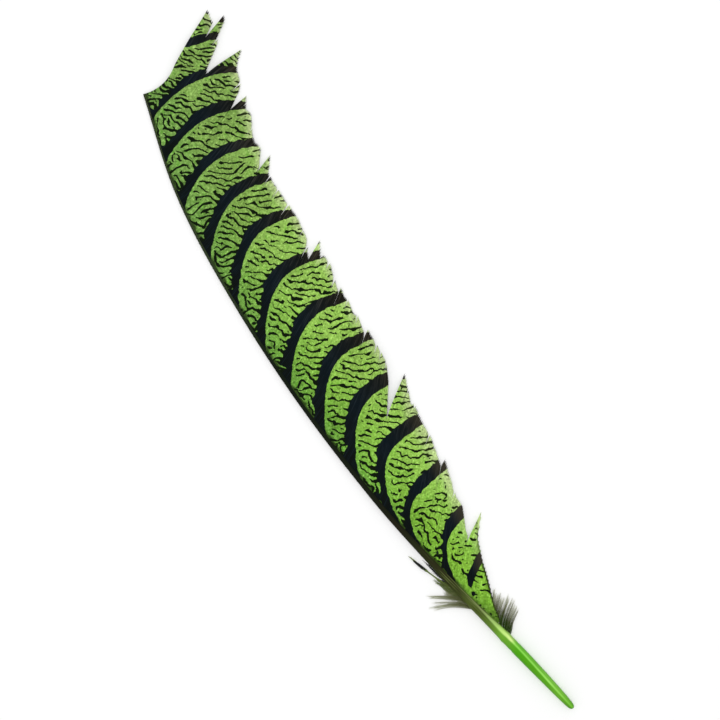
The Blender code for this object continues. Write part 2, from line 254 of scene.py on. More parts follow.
BARBULE_CURVE = 0.4  # how far it turns back towards the strand's direction
BARBULE_STRAY = 0.3  # up or down
BARBULE_SPLAYS = (0.6, 1.4)
BARBULE_LENGTHS = (0.5, 1.3)
BARBULES_AT_ROOT = 1.1
BARBULE_SHRINKING = 0.5  # towards the strand's tip
# Strands of a wisp: how many, how far they part, and their shortest and longest share of its
# length. Their build: half width, spread of heights, points from one barbule to the next, and
# the barbules' length and splay.
BROAD_DOWN_STRANDS = ((12, 0.00042, 0.80, 1.0), (0.00005, 0.0006, 2, 0.0009, 0.35))
BROAD_LOW_STRANDS = ((7, 0.00050, 0.25, 0.60), (0.00009, 0.0006, 3, 0.0008, 0.35))
NARROW_DOWN_STRANDS = ((12, 0.00040, 0.86, 1.0), (0.000045, 0.0004, 2, 0.0009, 0.35))
NARROW_FUZZ_STRANDS = ((7, 0.00040, 0.4, 1.0), (0.00005, 0.0004, 2, 0.0008, 0.35))
REMNANT_STRANDS = ((4, 0.00014, 0.97, 1.0), (0.00017, 0.0002, 2, 0.0005, 0.25))
WEDGE_STRANDS = ((3, 0.00020, 0.6, 1.0), (0.00009, 0.0003, 2, 0.0005, 0.25))
REMNANT_FUZZ_STRANDS = ((6, 0.00040, 0.4, 1.0), (0.00004, 0.0004, 2, 0.0009, 0.35))
STUB_BUILD = (0.00018, 0.0001, 2, 0.0004, 0.3)
STUMP_BUILD = (0.00009, 0.0001, 2, 0.0003, 0.5)

# Fine wavy lines between the bars.
LINE_PITCH = 0.0033
FINE_PITCH = 0.0021  # past the last bars
FINE_FROM = (0.365, 0.402)
LINE_TURN = math.radians(54)  # from the shaft's direction to square across the lines, beside it
LINE_TURN_OUTWARD = math.radians(420)  # how much less a metre further out
LINE_TURN_REACH = 0.05
LINE_TURN_ALONG = math.radians(40)  # how much less a metre further along
LINE_TURN_PLACE = 0.18
EARLY_TURN = (math.radians(14), (0.27, 0.21), (0.028, 0.012))  # added early, beside the shaft
LINE_WANDER = math.radians(15)
INNER_WANDER = math.radians(30)  # added beside the shaft
INNER_WANDER_OUT = (0.020, 0.004)
COMB_ANGLES = np.radians(np.arange(-130, 36, 15))
PITCH_SPREAD = 0.42  # as a share of the lines' pitch
WAVE_SPREAD = 0.45
LINE_ROUNDS = 5  # more rounds make the lines longer and more even
LINE_CONTRAST = 2.0
STEEPNESS_LIMITS = (0.35, 1.8)  # as shares of the steepness of even lines
LINE_HALF_WIDTH = 0.00053
INNER_HALF_WIDTH = 0.00004  # added beside the shaft
ROOT_HALF_WIDTH = 0.00035  # added where a line leaves a bar's tip side
LINE_SWELL = 0.15
LINE_FADE = 0.00016
LINE_ZIGZAG = 0.00042  # how far a line steps to and fro along the barbs
BAR_ZIGZAG = 0.00030
CLEAR_EDGE = (0.0020, 0.0006)  # green margin on a bar's quill side, where lines fade out
LINE_ROOT = (0.0030, 0)  # thick root of a line, past a bar's tip side
LINE_ROOT_OUT = (0.032, 0.020)
EARLY_ROOT_LOSS = 0.7
CORNER_FILL = 0.0005  # how far dark markings run together where they meet
INNER_OUT = (0.022, 0.009)
EARLY_ALONG = (0.19, 0.10)
# How lively the lines are. They show where it is above nought.
LIVELY_START = -0.40
LIVELY_NOISE = {"breaks": 0.7, "swells": 0.2, "patches": 0.2}
LIVELY_ALONG = (  # how much is added between two places along the shaft
    (0.45, 0.086, 0.112), (0.80, 0.10, 0.19), (0.30, 0.21, 0.25), (-0.20, 0.29, 0.33), (-0.25, 0.33, 0.37),
)
INNER_LIVELY = 1.1
EARLY_INNER_LOSS = 0.7
ROOT_LIVELY = 2.0
CLEAR_LOSS = 5.0
END_LOSS = 0.5
END_LOSS_REACH = (0.006, 0.001)  # before the barbs' ends
PLAIN_CORNER = (3.0, (0.098, 0.082), (0.012, 0.006))  # loss where the vane starts
SHOWN = (-0.15, 0.25)
SHOWN_WAVES = (0.14, 0.40)  # height of the waves
SPECK_LEVEL = 2.15  # how rare dark specks are
INNER_SPECKS = 0.45  # how much less rare beside the shaft
CLEAR_SPECKS = 1.5  # how much rarer in a bar's green margin
SPECK_SIZE = 0.0003
# Smooth random fields, in the order in which they are drawn, and how far each keeps its value.
MARKINGS_SEED = 41
WANDER_REACH = 0.0019
FIRST_WAVES_REACH = 0.0005
NOISE_REACHES = {
    "swells": 0.0011, "breaks": 0.0014, "patches": 0.006, "ragged": 0.0012, "clouds": 0.009,
    "zigzag": 0.0009, "specks": 0.00042,
}
EVENING_REACH = 0.0030  # over which the waves are made even in height
GRID_STEP = 0.0003
GRID_CORNER = (0.050, -0.066)
GRID_SHAPE = (1216, 320)
LAST_CELL = 1.001  # how far the last place that can be read lies short of a table's length

# Studio.
FLOOR_REACH = 3.0
FLOOR_LEVEL = -0.0002
FLOOR_COLOUR = (0.95, 0.95, 0.95, 1.0)
AIR_STRENGTH = 0.68
LAMP_SIZE = 0.45
LAMP_POWER = 12.0
LAMP_PLACE = (0.10, 0.05, 1.7)
CAMERA_PLACE = (0.0086, 0.0008, 1.2)
CAMERA_TURN = math.radians(-124.77)
VIEW_WIDTH = 0.3744  # of the surface that the camera sees

# Colours, as seen on a screen: dyes, and some painted light and shade, marked as such.
BLUSH_GREEN = (98, 184, 34)
BRIGHT_GREEN = (150, 205, 25)
PALE_GREEN = (198, 216, 152)
# Painted highlight: pale glints on the green vane.
PAINTED_GLINT_GREEN = (182, 214, 134)
DARK_OLIVE_AND_SHADE = (44, 58, 18)
DARK_ROOTS_AND_GAP_SHADOW = (22, 28, 12)
WORN_BLACK = (64, 60, 46)
LINE_DYE = (12, 22, 6)
PALE_LINE_DYE = (44, 54, 24)
HORN_BROWN = (44, 34, 20)
HORN_PALE = (132, 146, 80)


def smooth_value(table, x):
    """Values at x of the smooth curve through the table's (x, value) points."""
    places, values = np.array(table).T
    last = len(places) - 1
    after = np.minimum(np.arange(last + 1) + 1, last)
    before = np.maximum(np.arange(last + 1) - 1, 0)
    slopes = (values[after] - values[before]) / (places[after] - places[before])
    x = np.clip(x, places[0], places[-1])
    left = np.clip(np.searchsorted(places, x) - 1, 0, last - 1)
    span = places[left + 1] - places[left]
    t = (x - places[left]) / span
    from_left = (1 + 2 * t) * (1 - t) ** 2 * values[left] + t * (1 - t) ** 2 * span * slopes[left]
    from_right = t * t * (3 - 2 * t) * values[left + 1] - t * t * (1 - t) * span * slopes[left + 1]
    return from_left + from_right


def ease(value, low, high):
    """0 where the value is at low and 1 at high, with a soft passage. Low may be the larger."""
    t = np.clip((value - low) / (high - low), 0.0, 1.0)
    return t * t * (3 - 2 * t)


def zone(along, out, amount, stretch, reach):
    """An amount that holds on a stretch along the shaft and up to a reach out from it."""
    return amount * ease(along, *stretch) * ease(out, *reach)


def unit(vectors):
    return vectors / np.linalg.norm(vectors, axis=-1, keepdims=True)


def turned(vectors):
    """Directions a quarter turn to the left, seen from above."""
    return np.stack((-vectors[..., 1], vectors[..., 0]), axis=-1)


def heading_of(lines):
    """Directions of lines at each of their points."""
    return unit(np.gradient(lines, axis=1))


def shaft_middle(x):
    return np.stack((x, smooth_value(SHAFT_BOW, x)), axis=-1)


def shaft_along(x):
    x = np.clip(x, SLOPE_REACH, SHAFT_LENGTH - SLOPE_REACH)
    return unit(shaft_middle(x + SLOPE_REACH) - shaft_middle(x - SLOPE_REACH))


def barb_root(x, side, out=0.0):
    """Where a barb starts on the shaft's side."""
    reach = smooth_value(SHAFT_WIDTH, x) / 2 + out
    return shaft_middle(x) + turned(shaft_along(x)) * side * reach[..., None]


def stripped_edge(x):
    """The shaft's edge on the stripped side, carried straight on past the tip."""
    inside = np.minimum(x, SHAFT_LENGTH)
    along = shaft_along(inside)
    return barb_root(inside, NARROW_SIDE) + along * ((x - inside) / along[..., 0])[..., None]


def beside_shaft(places):
    """Distance along the stripped edge from the quill's end, and distance out from it to -Y."""
    x = places[..., 0].copy()
    for _ in range(NEAREST_ROUNDS):
        x += ((places - stripped_edge(x)) * shaft_along(x)).sum(axis=-1)
    steps = np.linalg.norm(np.diff(stripped_edge(STATIONS), axis=0), axis=-1)
    reach = np.concatenate(([0.0], np.cumsum(steps)))
    reach -= np.interp(0.0, STATIONS, reach)
    out = -((places - stripped_edge(x)) * turned(shaft_along(x))).sum(axis=-1)
    return np.interp(x, STATIONS, reach), out


def parabola(start, bend, end, t):
    t = t[:, None]
    start, bend, end = (point[..., None, :] for point in (start, bend, end))
    return start * (1 - t) ** 2 + bend * 2 * t * (1 - t) + end * t * t


def reach_along(lines):
    """Distance along each line at each of its points."""
    steps = np.linalg.norm(np.diff(lines, axis=1), axis=-1)
    return np.concatenate((np.zeros((len(lines), 1)), np.cumsum(steps, axis=1)), axis=1)


def points_at(goals, distances, line):
    """Points of a line at some of the distances along it."""
    return np.stack([np.interp(goals, distances, line[:, axis]) for axis in (0, 1)], axis=-1)


def evenly(lines, count, keep):
    """The same lines with count points, evenly spaced along the share of each that is kept."""
    spaced = []
    for line, distances, part in zip(lines, reach_along(lines), keep):
        spaced.append(points_at(np.linspace(0.0, distances[-1] * part, count), distances, line))
    return np.stack(spaced)


def edge_points(edge, across, shares):
    """Barb ends along an outer edge, spread evenly across the barbs' direction."""
    steps = np.diff(edge, axis=0)
    reach = np.abs(steps @ across) + EDGE_SHARE * np.linalg.norm(steps, axis=-1)
    reach = np.concatenate(([0.0], np.cumsum(reach)))
    return points_at(shares * reach[-1], reach, edge)


def barb_lines(roots, shoulders, edge, side, shares):
    """Roots and lines of the barbs of one lock or tuft, at shares of the way across it."""
    run = unit(unit(edge[0] - shoulders[0]) + unit(edge[-1] - shoulders[1]))
    ends = edge_points(edge, turned(run), shares)
    x = roots[0] + (roots[1] - roots[0]) * shares
    root = barb_root(x, side, -ROOT_BURIED)
    shoulder = shoulders[0] + (shoulders[1] - shoulders[0]) * shares[:, None]
    chord = shoulder - root
    bow = smooth_value(BARB_BOW, x) if side == BROAD_SIDE else np.zeros_like(x)
    bend = root + chord / 2 - turned(chord) * 2 * bow[:, None]
    heading = unit(shoulder - bend)
    free_bend = shoulder + heading * np.linalg.norm(ends - shoulder, axis=-1, keepdims=True) * FREE_BEND
    inner = parabola(root, bend, shoulder, np.linspace(0, 1, INNER_POINTS)[:-1])
    free = parabola(shoulder, free_bend, ends, np.linspace(0, 1, FREE_POINTS))
    return x, np.concatenate((inner, free), axis=1)


def tube_faces(bodies, stations, sides):
    """Quads and end caps of closed bodies made of rings of corners."""
    corner = np.arange(bodies * stations * sides).reshape(bodies, stations, sides)
    here = corner[:, :-1]
    there = corner[:, 1:]
    after = np.roll(np.arange(sides), -1)
    quads = np.stack((here, here[..., after], there[..., after], there), axis=-1)
    caps = np.concatenate((corner[:, 0, ::-1], corner[:, -1]))
    return quads.reshape(-1, 4), caps


def placed(name, data):
    """A new object in the scene."""
    item = bpy.data.objects.new(name, data)
    bpy.context.scene.collection.objects.link(item)
    return item


def new_piece(node, kind, groups, finish, flat=None):
    """Closed bodies from rings of corners, in place of a solid node.

    Each group holds rings of the shape (bodies, stations, sides, 3), and values for the finish
    that each fit the rings' first three axes. flat is a map for the finish's baked picture, if
    the piece needs another than the view from above.
    """
    corners = []
    indices = []
    sizes = []
    first = 0
    for rings, _ in groups:
        quads, caps = tube_faces(*rings.shape[:3])
        indices += [(quads + first).ravel(), (caps + first).ravel()]
        sizes += [np.full(len(quads), 4), np.full(len(caps), caps.shape[1])]
        corners.append(rings.reshape(-1, 3))
        first += len(corners[-1])
    corners = np.concatenate(corners) - (*BOX_MIDDLE, 0.0)
    indices = np.concatenate(indices)
    sizes = np.concatenate(sizes)
    mesh = bpy.data.meshes.new(f"{node}_{kind}")
    mesh.vertices.add(len(corners))
    mesh.vertices.foreach_set("co", corners.astype(np.float32).ravel())
    mesh.loops.add(len(indices))
    mesh.loops.foreach_set("vertex_index", indices)
    mesh.polygons.add(len(sizes))
    mesh.polygons.foreach_set("loop_start", np.cumsum(sizes) - sizes)
    mesh.update(calc_edges=True)
    for label in groups[0][1]:
        spread = [np.broadcast_to(values[label], rings.shape[:3]).ravel() for rings, values in groups]
        attribute = mesh.attributes.new(label, "FLOAT", "POINT")
        attribute.data.foreach_set("value", np.concatenate(spread).astype(np.float32))
    if flat is None:
        flat = corners[:, :2] + corners[:, 2:] * MAP_SLANT
    low = flat.min(axis=0)
    flat = (flat - low) / (flat.max(axis=0) - low)
    layer = mesh.uv_layers.new(name="OFBake")
    layer.data.foreach_set("uv", flat[indices].astype(np.float32).ravel())
    mesh.materials.append(finish)
    mesh.shade_smooth()
    piece = placed(mesh.name, mesh)
    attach(piece, "root")
    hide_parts(node)
    return mesh


# Markings.


def read_grid(field, places):
    """Values of a field on the grid at places seen from above."""
    spot = np.clip((places - GRID_CORNER) / GRID_STEP, 0, np.array(GRID_SHAPE) - LAST_CELL)
    low = spot.astype(int)
    i, j = np.moveaxis(low, -1, 0)
    u, v = np.moveaxis(spot - low, -1, 0)
    near = field[i, j] * (1 - v) + field[i, j + 1] * v
    far = field[i + 1, j] * (1 - v) + field[i + 1, j + 1] * v
    return near * (1 - u) + far * u


def grid_waves():
    """Wave numbers of the grid, in cycles per metre."""
    along = np.fft.fftfreq(GRID_SHAPE[0], GRID_STEP)[:, None]
    across = np.fft.fftfreq(GRID_SHAPE[1], GRID_STEP)[None, :]
    return along, across


def blur(field, reach):
    along, across = grid_waves()
    keep = np.exp(-2 * (math.pi * reach) ** 2 * (along ** 2 + across ** 2))
    return np.fft.ifft2(np.fft.fft2(field) * keep).real


def soft_noise(draw, reach):
    """Smooth random field with a spread of 1."""
    field = blur(draw.standard_normal(GRID_SHAPE), reach)
    return field / field.std()


def line_headings(wander):
    """Angles from +X of the directions square to the wavy lines, and how fine the lines are."""
    places = GRID_CORNER + GRID_STEP * np.moveaxis(np.indices(GRID_SHAPE), 0, -1)
    along, out = beside_shaft(places)
    from_shaft = LINE_TURN - LINE_TURN_OUTWARD * np.clip(out, 0, LINE_TURN_REACH)
    from_shaft -= LINE_TURN_ALONG * (along - LINE_TURN_PLACE)
    from_shaft += zone(along, out, *EARLY_TURN)
    shaft = shaft_along(places[..., 0])
    stray = (LINE_WANDER + INNER_WANDER * ease(out, *INNER_WANDER_OUT)) * wander
    return np.arctan2(shaft[..., 1], shaft[..., 0]) - from_shaft + stray, ease(along, *FINE_FROM)


def line_combs(pitch):
    """Filters that let through waves of one pitch, one for each heading."""
    along, across = grid_waves()
    combs = []
    for angle in COMB_ANGLES:
        with_heading = (along * math.cos(angle) + across * math.sin(angle)) * pitch - 1
        over_heading = (across * math.cos(angle) - along * math.sin(angle)) * pitch
        combs.append(np.exp(-((with_heading / PITCH_SPREAD) ** 2) - (over_heading / WAVE_SPREAD) ** 2))
    return combs


def grow_lines(draw):
    """Waves over the grid, with lines where their phase is nought, and how steeply it changes."""
    headings, fine = line_headings(soft_noise(draw, WANDER_REACH))
    place = (headings - COMB_ANGLES[0]) / (COMB_ANGLES[1] - COMB_ANGLES[0])
    place = np.clip(place, 0, len(COMB_ANGLES) - LAST_CELL)
    low = place.astype(int)
    part = place - low
    pitches = ((line_combs(LINE_PITCH), 1 - fine), (line_combs(FINE_PITCH), fine))
    waves = soft_noise(draw, FIRST_WAVES_REACH)
    for _ in range(LINE_ROUNDS):
        spectrum = np.fft.fft2(np.tanh(LINE_CONTRAST * waves.real / waves.real.std()))
        waves = np.zeros(GRID_SHAPE, complex)
        for combs, wanted in pitches:
            for k, comb in enumerate(combs):
                share = np.where(low == k, 1 - part, 0) + np.where(low == k - 1, part, 0)
                waves += share * wanted * np.fft.ifft2(spectrum * comb)
    slopes = [np.imag(np.conj(waves) * slope) for slope in np.gradient(waves, GRID_STEP)]
    steepness = np.hypot(*slopes) / np.abs(waves) ** 2
    usual = 2 * math.pi / (LINE_PITCH + (FINE_PITCH - LINE_PITCH) * fine)
    least, most = STEEPNESS_LIMITS
    waves /= np.sqrt(blur(np.abs(waves) ** 2, EVENING_REACH))
    return waves, np.clip(steepness, least * usual, most * usual)


def joined(one, other):
    """Depth inside either of two markings, with the corner between them filled."""
    close = np.maximum(1 - np.abs(one - other) / CORNER_FILL, 0)
    return np.maximum(one, other) + close * close * CORNER_FILL / 4


def bar_depths(along, out, ragged):
    """Distance inside the nearest bar, to the next bar's quill side, and past the last bar."""
    inward = 1 - np.clip(out / BAR_REACH, 0, 1)
    outward = (np.maximum(out - BAR_REACH, 0) / DROOP_REACH) ** 2
    flare = FLARE_LENGTH * (1 - np.clip(out / FLARE_REACH, 0, 1)) ** 2
    inside = np.full_like(along, -1.0)
    before = np.full_like(along, 1.0)
    past = np.full_like(along, 1.0)
    for *sizes, bend in BARS:
        level, fall, thickness = metres(sizes)
        slope = bend * fall / BAR_REACH * inward ** (bend - 1)
        square = 1 / np.sqrt(1 + slope ** 2)
        near = (along - level + fall * inward ** bend + BAR_DROOP * outward) * square
        inner_share = INNER_BAR_SHARE - BEND_THINNING * (bend - 2)
        thick = thickness * (inner_share + (1 - inner_share) * ease(out, *FULL_THICKNESS))
        far = thick - OUTER_THINNING * outward + ragged * ease(out, *RAGGED_OUT) + flare * square - near
        inside = np.maximum(inside, np.minimum(near + flare * square * FLARE_LEAN, far))
        before = np.where(near < 0, np.minimum(before, -near), before)
        past = np.where(far < 0, np.minimum(past, -far), past)
    level, fall, thickness, first, last = SHORT_BAR
    near = (along - level + fall * (1 - out / BAR_REACH) ** 2) * SHORT_BAR_SQUARE
    grown = ease(out, first, first + SHORT_BAR_TAPER)
    far = thickness * (SHORT_BAR_ROOT + (1 - SHORT_BAR_ROOT) * grown) - near
    ends = np.minimum(out - first, last - out)
    inside = np.maximum(inside, np.minimum(np.minimum(near, far), ends))
    for spot_along, spot_out, radius in SPOTS:
        inside = np.maximum(inside, radius - np.hypot(along - spot_along, out - spot_out))
    return inside, before, past


class Markings:
    """Bars and wavy lines of the broad vane, found once for all its locks."""

    def __init__(self):
        draw = np.random.default_rng(MARKINGS_SEED)
        self.waves, self.steepness = grow_lines(draw)
        self.noises = {name: soft_noise(draw, reach) for name, reach in NOISE_REACHES.items()}

    def at(self, places, heading, to_end):
        """Depths inside a bar and any dark marking, and distances along and out from the shaft.

        heading is the barbs' own direction there, and to_end is how far their free ends are.
        """
        noise = {name: read_grid(field, places) for name, field in self.noises.items()}
        slip = heading * noise["zigzag"][..., None]
        along, out = beside_shaft(places + slip * BAR_ZIGZAG)
        bar, before, past = bar_depths(along, out, BAR_RAGGED * noise["ragged"])
        wave_places = places + slip * LINE_ZIGZAG
        waves = read_grid(self.waves, wave_places)
        off_line = np.abs(np.angle(waves)) / read_grid(self.steepness, wave_places)
        inner = ease(out, *INNER_OUT)
        early = ease(along, *EARLY_ALONG)
        rooted = ease(past, *LINE_ROOT) * ease(out, *LINE_ROOT_OUT) * (1 - EARLY_ROOT_LOSS * early)
        clear = ease(before, *CLEAR_EDGE)
        lively = LIVELY_START + sum(amount * noise[name] for name, amount in LIVELY_NOISE.items())
        lively += sum(amount * ease(along, start, end) for amount, start, end in LIVELY_ALONG)
        lively += (INNER_LIVELY - EARLY_INNER_LOSS * early) * inner + ROOT_LIVELY * rooted
        lively -= CLEAR_LOSS * clear + END_LOSS * ease(to_end, *END_LOSS_REACH)
        lively -= zone(along, out, *PLAIN_CORNER)
        shown = ease(lively, *SHOWN) * ease(np.abs(waves), *SHOWN_WAVES)
        half_width = LINE_HALF_WIDTH * (1 + LINE_SWELL * noise["swells"])
        half_width += INNER_HALF_WIDTH * inner + ROOT_HALF_WIDTH * rooted
        line = (half_width + LINE_FADE) * shown - LINE_FADE - off_line
        rare = SPECK_LEVEL - INNER_SPECKS * inner + CLEAR_SPECKS * clear
        speck = (noise["specks"] - rare) * SPECK_SIZE
        return bar, np.maximum(joined(bar, line), speck), along, out


# Finishes.


class Wire:
    """A socket's output. Python's operators on it add Math nodes."""

    def __init__(self, finish, output):
        self.finish = finish
        self.output = output

    def math(self, operation, *values):
        return self.finish.node("ShaderNodeMath", {"operation": operation}, dict(enumerate(values)))

    def __add__(self, other):
        return self.math("ADD", self, other)

    __radd__ = __add__

    def __sub__(self, other):
        return self.math("SUBTRACT", self, other)

    def __rsub__(self, other):
        return self.math("SUBTRACT", other, self)

    def __mul__(self, other):
        return self.math("MULTIPLY", self, other)

    __rmul__ = __mul__

    def passage(self, low, high):
        """0 where the number is at low and 1 at high, with a soft passage. Low may be the larger."""
        sockets = {"Value": self, "From Min": low, "From Max": high}
        return self.finish.node("ShaderNodeMapRange", {"interpolation_type": "SMOOTHSTEP"}, sockets)

    def ramp(self, *stops):
        return self.finish.node("ShaderNodeValToRGB", {"stops": stops}, {"Fac": self})

    def mix(self, low, high):
        """Colour between two colours, given as wires or as tuples."""
        return self.finish.mix("MIX", self, low, high)

    def shaded(self, amount):
        """This colour, made lighter or darker by a number about 1."""
        parts = {"Red": amount, "Green": amount, "Blue": amount}
        grey = self.finish.node("ShaderNodeCombineColor", sockets=parts)
        return self.finish.mix("MULTIPLY", 1.0, self, grey)


class Finish:
    """Nodes of one material, and the ways to add to them."""

    def __init__(self, name, **constants):
        self.material = bpy.data.materials.new(name)
        self.material.use_nodes = True
        self.tree = self.material.node_tree
        self.set(**constants)

    def node(self, kind, settings=(), sockets=(), output=0):
        """A node from its type, its settings and the values or links of its sockets."""
        item = self.tree.nodes.new(kind)
        for name, value in dict(settings).items():
            if name == "stops":
                self.set_stops(item.color_ramp, value)
            else:
                setattr(item, name, value)
        for name, value in dict(sockets).items():
            self.join(item.inputs[name], value)
        return Wire(self, item.outputs[output])

    def set_stops(self, ramp, stops):
        while len(ramp.elements) < len(stops):
            ramp.elements.new(1.0)
        for element, (place, colour) in zip(ramp.elements, stops):
            element.position = place
            element.color = linear(colour)

    def join(self, socket, value):
        if isinstance(value, Wire):
            self.tree.links.new(value.output, socket)
        else:
            socket.default_value = value

    def set(self, **values):
        """Feeds the shader's own sockets."""
        for name, value in values.items():
            self.join(self.tree.nodes["Principled BSDF"].inputs[name.replace("_", " ")], value)

    def values(self, *names):
        """Numbers that the mesh carries at each corner."""
        return [self.node("ShaderNodeAttribute", {"attribute_name": name}, output=2) for name in names]

    def mix(self, blend, factor, low, high):
        low, high = (c if isinstance(c, Wire) else linear(c) for c in (low, high))
        settings = {"data_type": "RGBA", "blend_type": blend}
        return self.node("ShaderNodeMix", settings, {0: factor, 6: low, 7: high}, output=2)

    def noise(self, x, y, z=0.0, detail=2.0, roughness=0.5):
        """Noise with grains of about 1 in x, y and z."""
        vector = self.node("ShaderNodeCombineXYZ", sockets={"X": x, "Y": y, "Z": z})
        sockets = {"Vector": vector, "Scale": 1.0, "Detail": detail, "Roughness": roughness}
        return self.node("ShaderNodeTexNoise", sockets=sockets)

    def bump(self, height, distance):
        self.set(Normal=self.node("ShaderNodeBump", sockets={"Height": height, "Distance": distance}))


def linear(colour):
    """Linear light from a colour as it is seen on a screen, 0 to 255."""
    shares = [c / 255 for c in colour]
    return (*(c / 12.92 if c <= 0.04045 else ((c + 0.055) / 1.055) ** 2.4 for c in shares), 1.0)


def vane_finish():
    """Hooked barbs: lime green, blue-black bars and fine dark lines, with a silky sheen that is painted:
    painted highlights on ridges and flecks, and painted shade on the webs, at the first barbs and beside the
    shaft.
    """
    finish = Finish("barred_lime_vane", Specular_IOR_Level=0.03)
    along, out, off, rim, reach, over = finish.values("along", "out", "off", "rim", "reach", "over")
    ridge, tone, barb, dusk, bar, dark = finish.values("ridge", "tone", "barb", "dusk", "bar", "dark")
    own = barb * 7.3
    streaks = finish.noise(reach * 60.0, own, 0.0, 3.0, 0.6)
    flecks = finish.noise(reach * 850.0, own)
    blush = finish.noise(along * 120.0, out * 20.0, 5.0, 2.0, 0.6)

    lower = out.ramp(
        (0.09, (115, 172, 66)), (0.18, (126, 184, 68)), (0.27, (136, 191, 72)), (0.40, (146, 200, 78)),
        (0.65, (162, 210, 93)),
    )
    upper = out.ramp((0.09, (118, 162, 78)), (0.27, (128, 171, 84)), (0.40, (136, 174, 87)))
    green = along.passage(0.45, 0.95).mix(lower, upper)
    green = (blush.passage(0.52, 0.80) * 0.6).mix(green, BLUSH_GREEN)
    bright = along.passage(0.42, 0.24) * out.passage(0.45, 0.20)
    green = (bright * 0.28).mix(green, BRIGHT_GREEN)
    worn = rim.passage(0.85, 0.0)
    pale = worn * out.passage(0.3, 0.7)
    green = (pale * 0.85).mix(green, PALE_GREEN)
    # Painted highlight: pale glints on the green where the flecks are high.
    green = (flecks.passage(0.50, 0.78) * 0.25).mix(green, PAINTED_GLINT_GREEN)
    # Painted light and shade across each barb: a lit ridge and darker webs, with random tone, streaks and
    # flecks.
    light = 0.77 + 0.16 * ridge + 0.10 * tone + 0.70 * (streaks - 0.5) + 1.7 * (flecks - 0.5)
    # Painted shade, olive, over the first stretch, together with the first barbs' own dark olive ends.
    green = dusk.mix(green.shaded(light), DARK_OLIVE_AND_SHADE)
    # Darker where the barbs meet the shaft: partly their own dark bases, partly painted shadow in the gap
    # beside the shaft.
    at_root = off.passage(1.6, 0.3) * (0.30 + 0.55 * along.passage(0.195, 0.225))
    green = at_root.mix(green, DARK_ROOTS_AND_GAP_SHADOW)

    bar_colour_and_glint = out.ramp((0.1, (9, 15, 13)), (0.45, (9, 20, 26)), (0.75, (16, 20, 18)), (1.0, (30, 26, 18)))
    # Painted highlight: bluish to brownish glints along the barbs' ridges in the bars, over the bars' own
    # blue-black.
    gleam = out.ramp((0.2, (36, 56, 72)), (0.6, (66, 72, 74)), (0.9, (100, 92, 76)))
    glint = streaks.passage(0.42, 0.72) * ridge * (0.20 + 0.22 * out.passage(0.2, 0.9))
    bar_colour_and_glint = glint.mix(bar_colour_and_glint, gleam)
    bar_colour_and_glint = (worn * along.passage(0.50, 0.25) * 0.7).mix(bar_colour_and_glint, WORN_BLACK)
    line_dye = pale.mix(LINE_DYE, PALE_LINE_DYE)
    dark_mask = (dark + 0.14 * (flecks - 0.5)).passage(-0.09, 0.09)
    dark_marks_and_glint = bar.passage(-0.10, 0.10).mix(line_dye, bar_colour_and_glint)
    finish.set(Base_Color=dark_mask.mix(green, dark_marks_and_glint))
    finish.set(Roughness=0.58 - 0.12 * dark_mask + 0.1 * (streaks - 0.5))
    steps = reach * 42000.0 + over * 9.0
    finish.bump(steps.math("SINE", steps) * 0.5 + streaks, 0.00002)
    return finish.material


